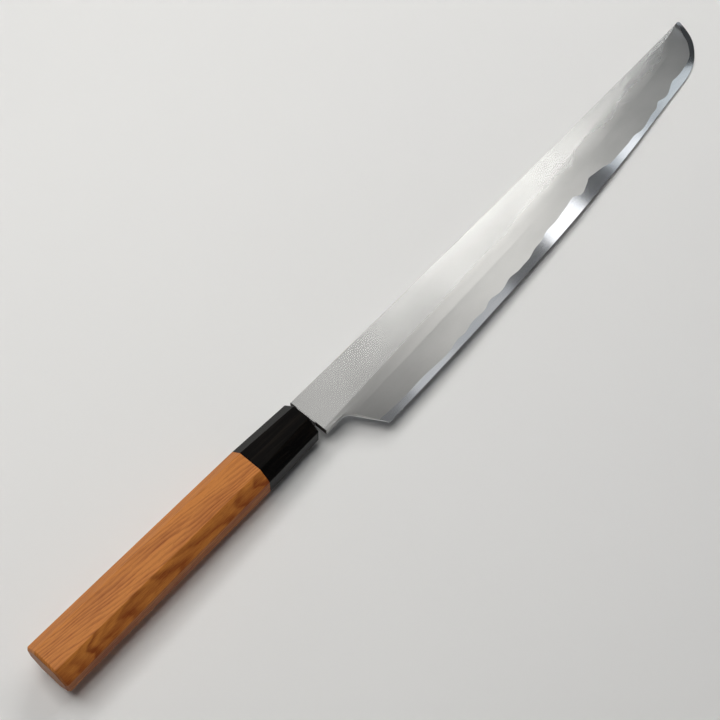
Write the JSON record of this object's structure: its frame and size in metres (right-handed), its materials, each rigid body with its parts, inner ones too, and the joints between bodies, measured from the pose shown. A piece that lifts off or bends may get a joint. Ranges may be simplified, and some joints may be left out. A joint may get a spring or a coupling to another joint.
{
  "type": "slicing knife",
  "caption": "Long slicing knife with a wide bevel, a slanted rounded tip, a wavy mirror band along the edge, a dark horn ferrule and an octagonal wooden handle.",
  "frame": {"origin": "middle of the handle's flat underside, the facet it lies on", "axes": "+X from the handle to the tip, +Y towards the spine, +Z out of the bevelled face"},
  "size_m": [0.4674, 0.0424, 0.0188],
  "materials": {
    "soft_iron": "satin",
    "edge_steel": "polished",
    "horn": "gloss",
    "handle_wood": "satin",
    "dowel_wood": "matte",
    "seal": "satin"
  },
  "bodies": {
    "root": {"soft_iron_body": "soft_iron", "edge_steel": "edge_steel", "horn_ferrule": "horn", "handle_body": "handle_wood", "handle_dowel": "dowel_wood", "tang_seal": "seal"}
  },
  "joints": []
}
